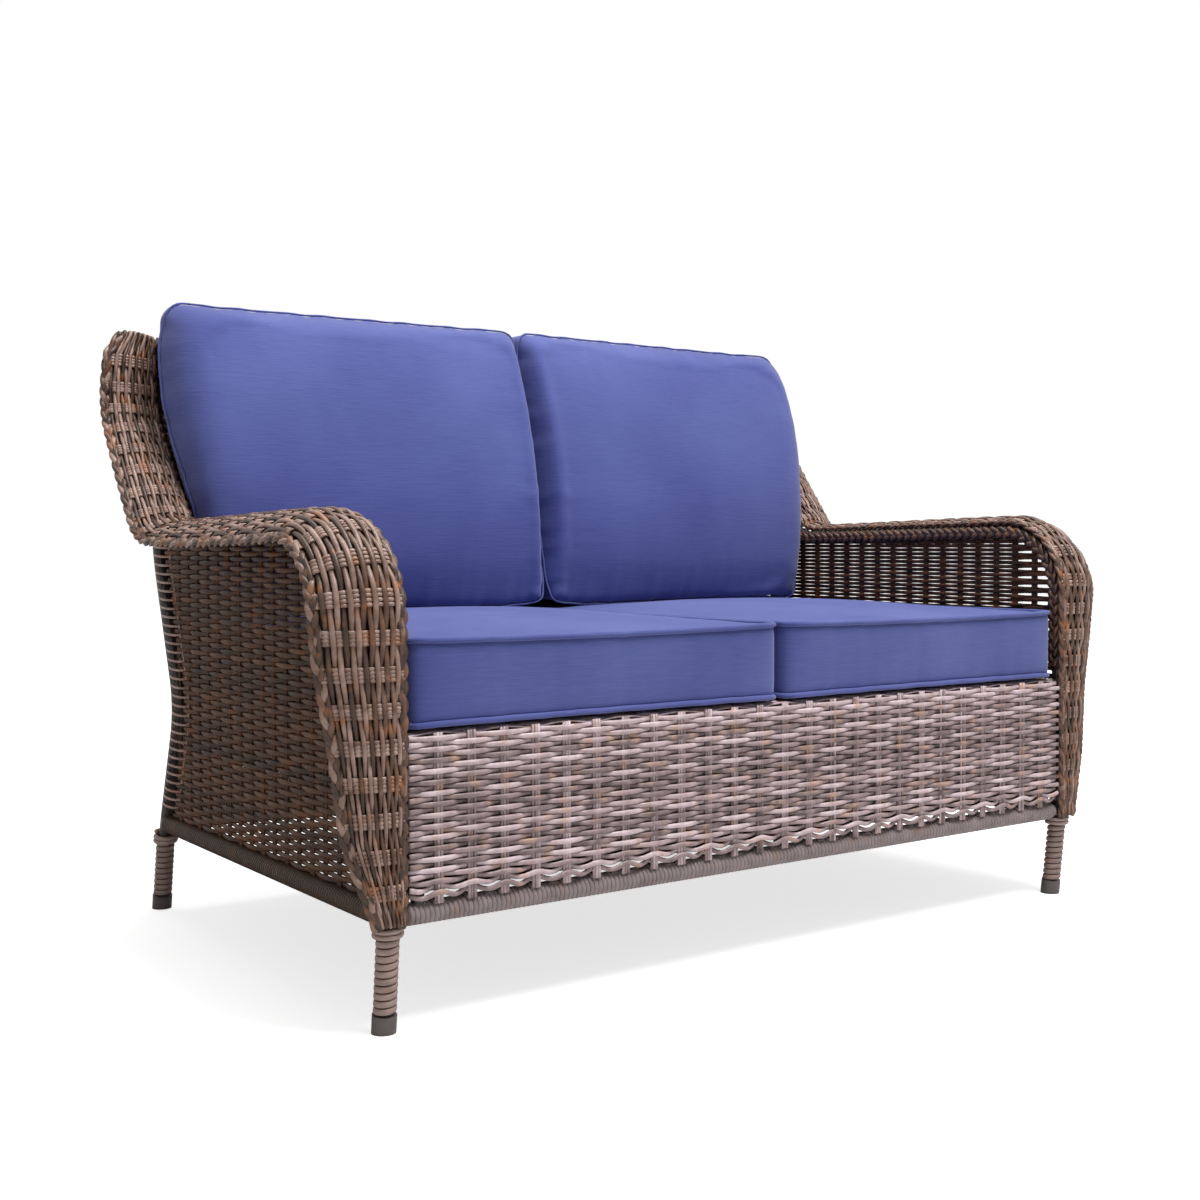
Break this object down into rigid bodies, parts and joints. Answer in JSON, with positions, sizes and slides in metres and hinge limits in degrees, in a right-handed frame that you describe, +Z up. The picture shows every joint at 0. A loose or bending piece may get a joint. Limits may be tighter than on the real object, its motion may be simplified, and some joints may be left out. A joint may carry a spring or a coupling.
{
  "type": "patio loveseat",
  "caption": "Two-seat woven resin wicker patio loveseat with rolled flaring arms that sweep up into wings, wrapped legs and four loose blue cushions.",
  "frame": {"origin": "middle of the overall box, on the floor", "axes": "+X to the viewer's right along the seat, -Y out of the front of the seat, +Z up"},
  "size_m": [1.372, 0.8055, 0.921],
  "materials": {
    "frame_paint": "satin",
    "wicker_side": "satin",
    "wicker_band": "satin",
    "wicker_apron": "satin",
    "wicker_deck": "satin",
    "wicker_wrap": "satin",
    "glide_plastic": "matte",
    "zinc_steel": "satin",
    "cushion_fabric": "matte"
  },
  "bodies": {
    "loveseat_frame": {"left_arm_tube": "frame_paint", "left_rear_post": "frame_paint", "left_side_rail": "wicker_wrap", "left_side_weave": "wicker_side", "left_arm_band": "wicker_band", "right_arm_tube": "frame_paint", "right_rear_post": "frame_paint", "right_side_rail": "wicker_wrap", "right_side_weave": "wicker_side", "right_arm_band": "wicker_band", "front_glides": "glide_plastic", "rear_glides": "glide_plastic", "seat_side_rails": "frame_paint", "seat_front_rail": "frame_paint", "seat_rear_rail": "frame_paint", "seat_cross_bars": "frame_paint", "front_lower_rail": "wicker_wrap", "rear_lower_rail": "wicker_wrap", "apron_posts": "frame_paint", "front_apron_weave": "wicker_apron", "rear_apron_weave": "wicker_side", "seat_deck_weave": "wicker_deck", "back_top_rail": "frame_paint", "back_bottom_rail": "frame_paint", "back_side_tubes": "frame_paint", "back_uprights": "frame_paint", "back_weave": "wicker_side", "frame_bolts": "zinc_steel", "frame_washers": "zinc_steel", "threaded_inserts": "zinc_steel", "front_leg_windings": "wicker_wrap"},
    "seat_cushion_left": {"seat_cushion_left": "cushion_fabric"},
    "seat_cushion_right": {"seat_cushion_right": "cushion_fabric"},
    "back_cushion_left": {"back_cushion_left": "cushion_fabric"},
    "back_cushion_right": {"back_cushion_right": "cushion_fabric"}
  },
  "joints": [
    {"name": "seat_cushion_left_slide", "type": "slide", "parent": "loveseat_frame", "child": "seat_cushion_left", "axis": [0, -1, 0], "range_m": [0, 0.62]},
    {"name": "seat_cushion_right_slide", "type": "slide", "parent": "loveseat_frame", "child": "seat_cushion_right", "axis": [0, -1, 0], "range_m": [0, 0.62]},
    {"name": "back_cushion_left_lift", "type": "slide", "parent": "loveseat_frame", "child": "back_cushion_left", "axis": [0, 0, 1], "range_m": [0, 0.45]},
    {"name": "back_cushion_right_lift", "type": "slide", "parent": "loveseat_frame", "child": "back_cushion_right", "axis": [0, 0, 1], "range_m": [0, 0.45]}
  ]
}
